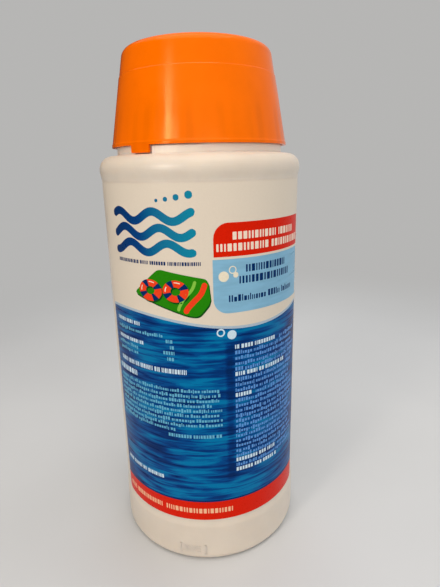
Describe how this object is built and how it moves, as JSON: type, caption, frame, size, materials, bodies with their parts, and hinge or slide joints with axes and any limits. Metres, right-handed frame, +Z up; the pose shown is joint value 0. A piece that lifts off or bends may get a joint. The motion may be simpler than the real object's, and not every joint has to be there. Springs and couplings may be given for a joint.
{
  "type": "pool chlorine granule bottle",
  "caption": "Round white bottle for pool chlorine granules, with printed labels and a tall tapered orange child-resistant screw cap that squeezes, turns and lifts off.",
  "frame": {"origin": "centre of the foot ring, on the surface that the bottle stands on", "axes": "+Z up along the bottle's axis to the cap; the front label faces -Y; +X is to the right of someone reading the front label"},
  "size_m": [0.1194, 0.1194, 0.3025],
  "materials": {
    "bottle_hdpe": "satin",
    "cap_polypropylene": "gloss",
    "label_film": "satin",
    "liner_foam": "matte",
    "chlorine_granules": "matte"
  },
  "bodies": {
    "bottle": {"bottle": "bottle_hdpe", "chlorine_granules": "chlorine_granules", "front_label": "label_film", "back_label": "label_film"},
    "liner": {"cap_liner": "liner_foam"},
    "cap": {"cap": "cap_polypropylene"},
    "front_tab": {"lock_tab_front": "cap_polypropylene"},
    "rear_tab": {"lock_tab_rear": "cap_polypropylene"}
  },
  "joints": [
    {"name": "cap_rise", "type": "slide", "parent": "bottle", "child": "liner", "axis": [0, 0, 1], "range_m": [0, 0.0526]},
    {"name": "cap_turn", "type": "hinge", "parent": "liner", "child": "cap", "pos_m": [0, 0, 0.276], "axis": [0, 0, 1], "range_deg": [0, 1890]},
    {"name": "front_tab_squeeze", "type": "slide", "parent": "cap", "child": "front_tab", "axis": [-0.6018, -0.7986, 0], "range_m": [-0.0012, 0]},
    {"name": "rear_tab_squeeze", "type": "slide", "parent": "cap", "child": "rear_tab", "axis": [0.6018, 0.7986, 0], "range_m": [-0.0012, 0]}
  ],
  "couplings": [
    {"joint": "cap_rise", "follows": "cap_turn", "m_per_rad": 0.0015915}
  ]
}
